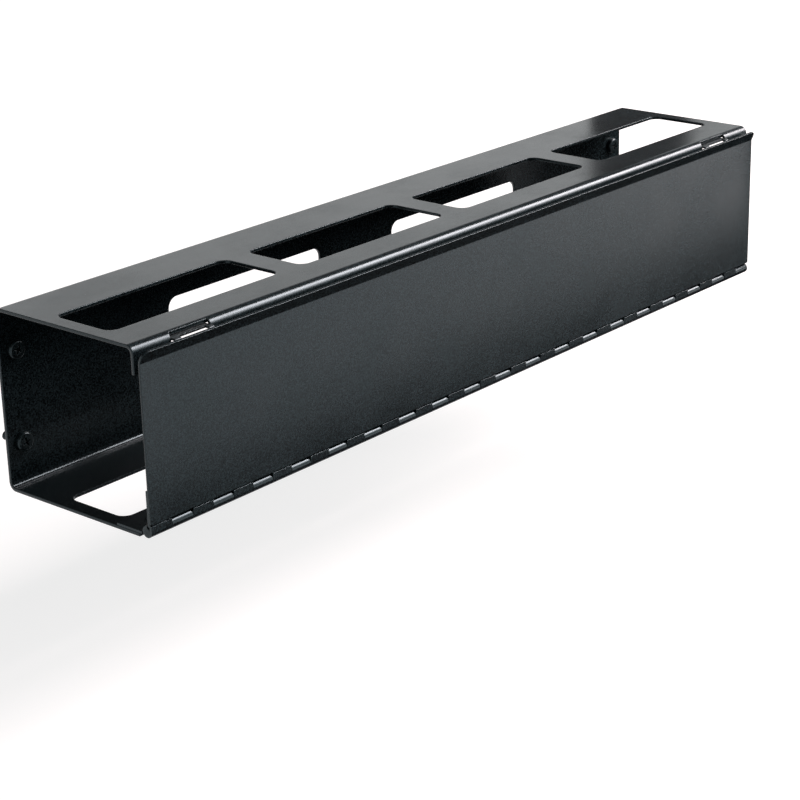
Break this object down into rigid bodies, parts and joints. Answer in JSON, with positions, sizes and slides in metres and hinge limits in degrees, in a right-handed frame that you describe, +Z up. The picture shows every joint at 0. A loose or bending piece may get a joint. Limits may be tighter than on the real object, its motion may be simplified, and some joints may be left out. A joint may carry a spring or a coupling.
{
  "type": "hinged horizontal cable manager",
  "caption": "Horizontal rack cable manager: bent steel channel with cable slots, and a drop-down front door on a continuous hinge with snap-in latch tabs.",
  "frame": {"origin": "centre of the four rack screws, on the back wall's rear face", "axes": "+X along the manager to the right end as seen from the rack's front, +Y to the rack rails behind it, +Z up; the door faces -Y"},
  "size_m": [0.4826, 0.1077, 0.0882],
  "materials": {
    "channel_paint": "satin black paint",
    "door_paint": "satin black paint",
    "hinge_paint": "satin black paint",
    "tab_paint": "satin black paint",
    "pin_steel": "painted steel wire",
    "screw_black": "black oxide, slightly glossy"
  },
  "bodies": {
    "channel": {"channel_body": "channel_paint", "hinge_body_leaf": "hinge_paint", "hinge_pin": "pin_steel", "rack_screw_lower_left": "screw_black", "rack_screw_lower_right": "screw_black", "rack_screw_upper_left": "screw_black", "rack_screw_upper_right": "screw_black"},
    "door": {"door_panel": "door_paint", "hinge_door_leaf": "hinge_paint", "latch_tab_left": "tab_paint", "latch_tab_right": "tab_paint"}
  },
  "joints": [
    {"name": "door_hinge", "type": "hinge", "parent": "channel", "child": "door", "pos_m": [0, -0.0913, -0.04072], "axis": [1, 0, 0], "range_deg": [0, 180]}
  ]
}
